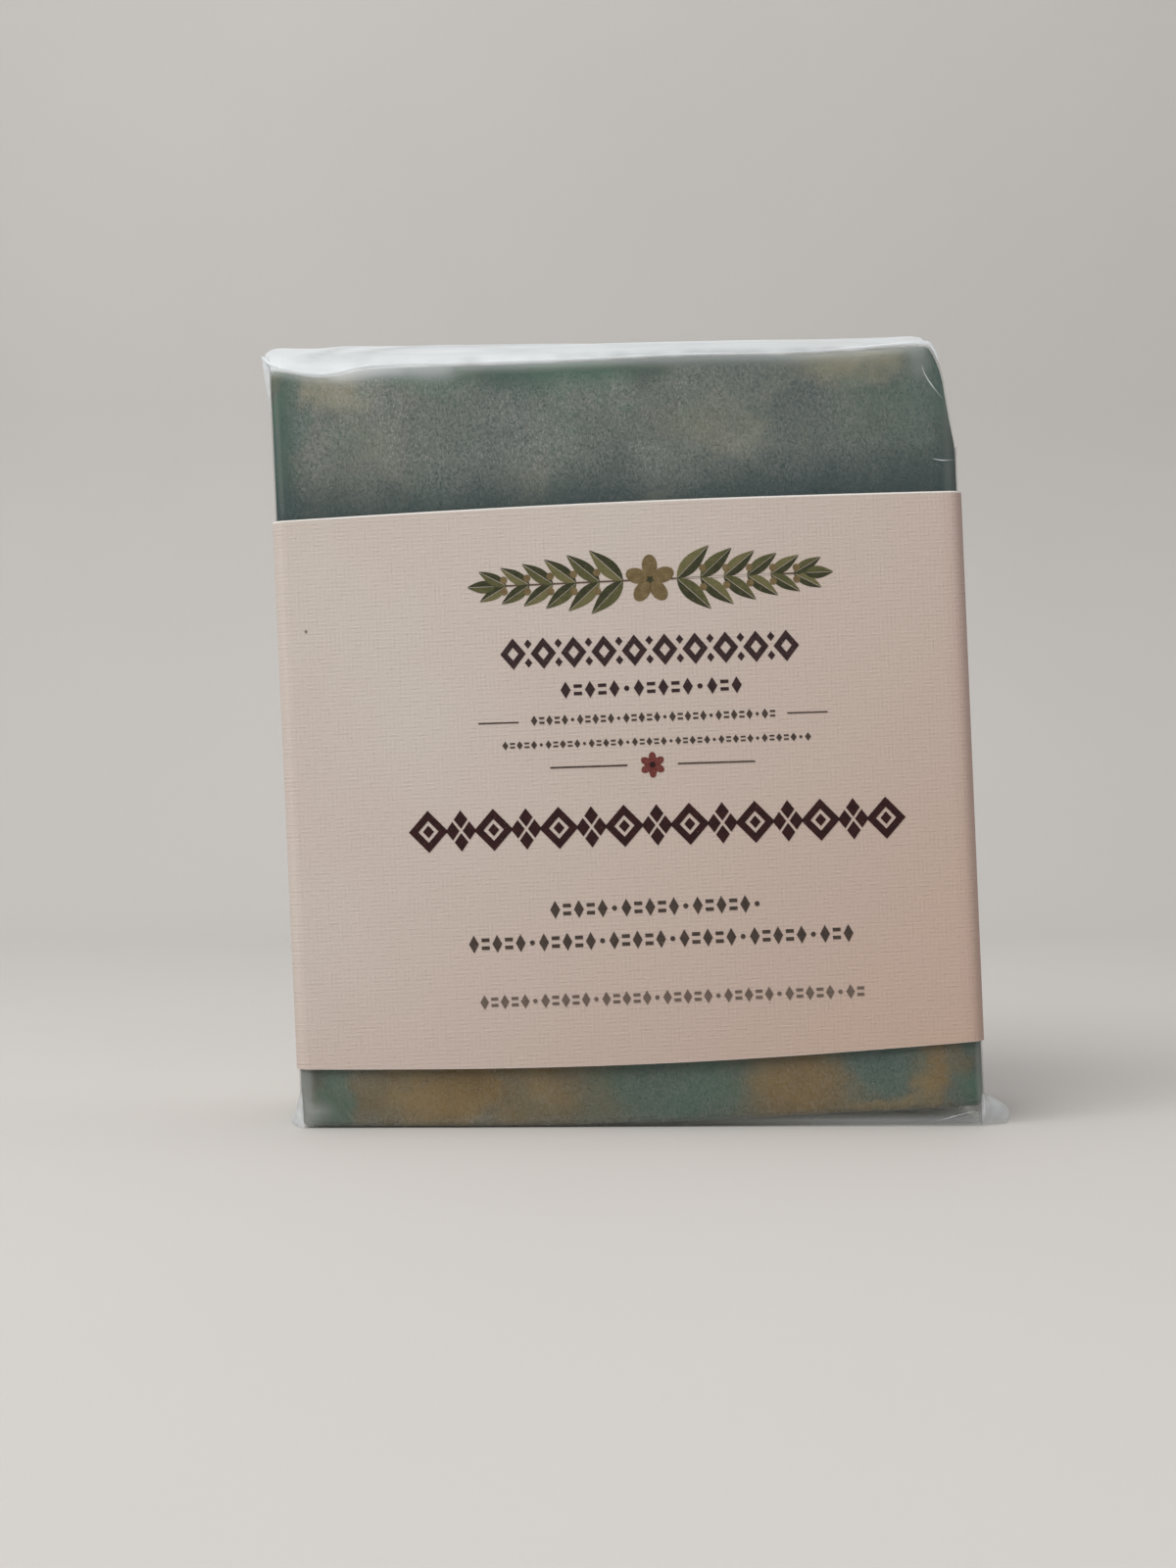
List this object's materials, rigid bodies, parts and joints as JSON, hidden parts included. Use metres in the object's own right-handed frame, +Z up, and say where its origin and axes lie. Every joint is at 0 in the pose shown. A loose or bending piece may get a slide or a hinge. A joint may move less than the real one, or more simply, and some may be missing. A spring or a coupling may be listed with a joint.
{
  "type": "wrapped soap bar",
  "caption": "Marbled bar of handmade soap folded into a translucent film wrap, held by a plain linen-textured paper band, standing on a short end.",
  "frame": {"origin": "bottom centre of the bounding box: the middle of the film's flat underside, on the surface it stands on", "axes": "+Z up along the bar's height, the longest extent; +Y through its thickness from front to back, the shortest extent; +X across its width, to the right as seen from the front"},
  "size_m": [0.0842, 0.0278, 0.0895],
  "materials": {
    "soap": "marbled, dull, slightly waxy",
    "film": "frosted translucent film with fine streaks",
    "paper": "linen embossed, uncoated",
    "tape": "clear double-sided tape"
  },
  "bodies": {
    "root": {"soap_bar": "soap", "film_wrap": "film", "paper_band": "paper", "band_tape": "tape"}
  },
  "joints": []
}
